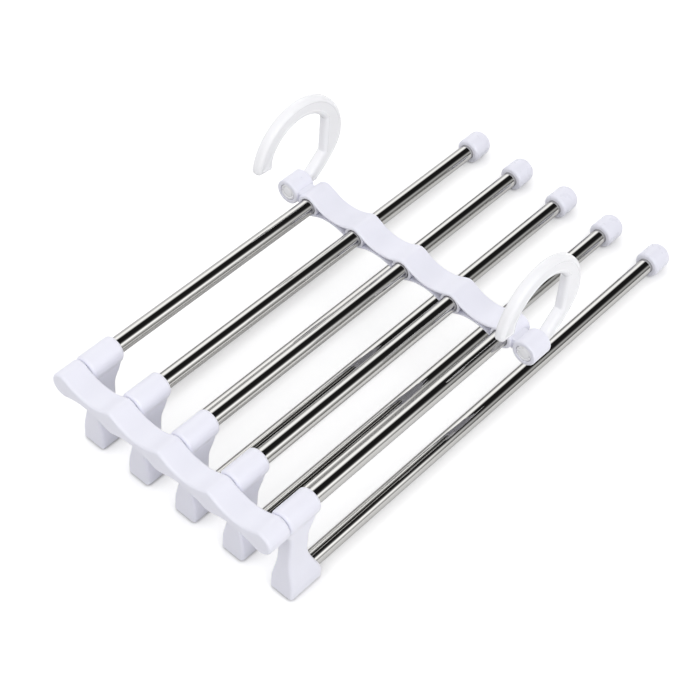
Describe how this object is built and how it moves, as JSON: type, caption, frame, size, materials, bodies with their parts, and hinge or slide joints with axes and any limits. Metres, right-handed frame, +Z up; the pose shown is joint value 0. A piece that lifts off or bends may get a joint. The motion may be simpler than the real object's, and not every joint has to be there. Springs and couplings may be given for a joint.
{
  "type": "folding trouser hanger",
  "caption": "Folding trouser hanger with swinging open-ended steel rails on moulded feet, hinged between wavy plastic bars, and swivel hooks for hanging it from a wardrobe rail.",
  "frame": {"origin": "middle of the outline on the floor plane, under the middle arm", "axes": "+X along the bars towards the right hook, +Y from the front bar to the end caps, +Z up"},
  "size_m": [0.1824, 0.347, 0.1219],
  "materials": {
    "bar_plastic": "smooth white moulding, faintly cool",
    "bracket_plastic": "smooth white moulding, faintly cool",
    "cap_plastic": "smooth white moulding with a rounded end",
    "hook_plastic": "milky white, a little translucent",
    "polished_steel": "mirror-polished stainless steel tube"
  },
  "bodies": {
    "frame": {"front_wave_bar": "bar_plastic", "hook_bar": "bar_plastic"},
    "arm_1": {"foot_bracket_1": "bracket_plastic", "upper_tube_1": "polished_steel", "lower_tube_1": "polished_steel", "end_cap_1": "cap_plastic"},
    "arm_2": {"foot_bracket_2": "bracket_plastic", "upper_tube_2": "polished_steel", "lower_tube_2": "polished_steel", "end_cap_2": "cap_plastic"},
    "arm_3": {"foot_bracket_3": "bracket_plastic", "upper_tube_3": "polished_steel", "lower_tube_3": "polished_steel", "end_cap_3": "cap_plastic"},
    "arm_4": {"foot_bracket_4": "bracket_plastic", "upper_tube_4": "polished_steel", "lower_tube_4": "polished_steel", "end_cap_4": "cap_plastic"},
    "arm_5": {"foot_bracket_5": "bracket_plastic", "upper_tube_5": "polished_steel", "lower_tube_5": "polished_steel", "end_cap_5": "cap_plastic"},
    "left_hook_body": {"left_hook": "hook_plastic"},
    "right_hook_body": {"right_hook": "hook_plastic"}
  },
  "joints": [
    {"name": "arm_1_fold", "type": "hinge", "parent": "frame", "child": "arm_1", "pos_m": [-0.068, -0.15815, 0.0632], "axis": [0, 1, 0], "range_deg": [-60, 60]},
    {"name": "arm_2_fold", "type": "hinge", "parent": "frame", "child": "arm_2", "pos_m": [-0.034, -0.15815, 0.0632], "axis": [0, 1, 0], "range_deg": [-60, 60]},
    {"name": "arm_3_fold", "type": "hinge", "parent": "frame", "child": "arm_3", "pos_m": [0, -0.15815, 0.0632], "axis": [0, 1, 0], "range_deg": [-60, 60]},
    {"name": "arm_4_fold", "type": "hinge", "parent": "frame", "child": "arm_4", "pos_m": [0.034, -0.15815, 0.0632], "axis": [0, 1, 0], "range_deg": [-60, 60]},
    {"name": "arm_5_fold", "type": "hinge", "parent": "frame", "child": "arm_5", "pos_m": [0.068, -0.15815, 0.0632], "axis": [0, 1, 0], "range_deg": [-60, 60]},
    {"name": "left_hook_swivel", "type": "hinge", "parent": "frame", "child": "left_hook_body", "pos_m": [-0.08375, 0.00845, 0.0632], "axis": [0, 1, 0], "range_deg": [-106.5, 63.5]},
    {"name": "right_hook_swivel", "type": "hinge", "parent": "frame", "child": "right_hook_body", "pos_m": [0.08375, 0.00845, 0.0632], "axis": [0, 1, 0], "range_deg": [-56.5, 113.5]}
  ],
  "couplings": [
    {"joint": "arm_2_fold", "follows": "arm_1_fold", "ratio": 1},
    {"joint": "arm_3_fold", "follows": "arm_1_fold", "ratio": 1},
    {"joint": "arm_4_fold", "follows": "arm_1_fold", "ratio": 1},
    {"joint": "arm_5_fold", "follows": "arm_1_fold", "ratio": 1}
  ]
}
